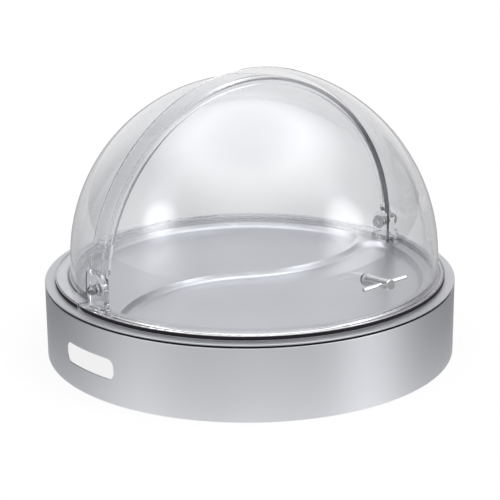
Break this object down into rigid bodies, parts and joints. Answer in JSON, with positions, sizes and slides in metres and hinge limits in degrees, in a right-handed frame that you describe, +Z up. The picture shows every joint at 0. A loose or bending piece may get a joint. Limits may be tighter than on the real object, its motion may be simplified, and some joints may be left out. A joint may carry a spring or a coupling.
{
  "type": "roll-top display tray",
  "caption": "Round buffet display: a satin steel ring with finger slots carries a divided polished tray under a clear dome whose front half rolls up and back over the rear half.",
  "frame": {"origin": "centre of the base ring, on the surface that it stands on", "axes": "+Z up, -Y towards the front with the handle, X along the hinge axis with the left hinge at -X"},
  "size_m": [0.46, 0.4782, 0.3175],
  "materials": {
    "ring_steel": "satin",
    "tray_steel": "polished",
    "clear_plastic": "clear gloss",
    "hardware_steel": "polished",
    "handle_steel": "polished",
    "spacer_plastic": "natural",
    "seal_rubber": "translucent grey",
    "black_rubber": "black satin"
  },
  "bodies": {
    "base": {"base_ring": "ring_steel"},
    "tray": {"tray": "tray_steel", "tray_seal": "black_rubber"},
    "cover": {"rear_shell": "clear_plastic", "rear_edge_strip": "black_rubber", "left_pivot_stud": "hardware_steel", "left_ball_cap": "hardware_steel", "left_outer_washer": "hardware_steel", "left_spacer_washer": "spacer_plastic", "left_inner_washer": "hardware_steel", "left_inner_nut": "hardware_steel", "right_pivot_stud": "hardware_steel", "right_ball_cap": "hardware_steel", "right_outer_washer": "hardware_steel", "right_spacer_washer": "spacer_plastic", "right_inner_washer": "hardware_steel", "right_inner_nut": "hardware_steel"},
    "front_cover": {"front_shell": "clear_plastic", "front_edge_strip": "black_rubber", "handle_post": "handle_steel", "handle_bar": "handle_steel", "handle_seat_washer": "seal_rubber", "handle_inner_washer": "hardware_steel", "handle_screw": "hardware_steel"}
  },
  "joints": [
    {"name": "tray_lift", "type": "slide", "parent": "base", "child": "tray", "axis": [0, 0, 1], "range_m": [0, 0.1]},
    {"name": "cover_lift", "type": "slide", "parent": "tray", "child": "cover", "axis": [0, 0, 1], "range_m": [0, 0.15]},
    {"name": "roll_top", "type": "hinge", "parent": "cover", "child": "front_cover", "pos_m": [0, 0, 0.1066], "axis": [-1, 0, 0], "range_deg": [0, 93]}
  ]
}
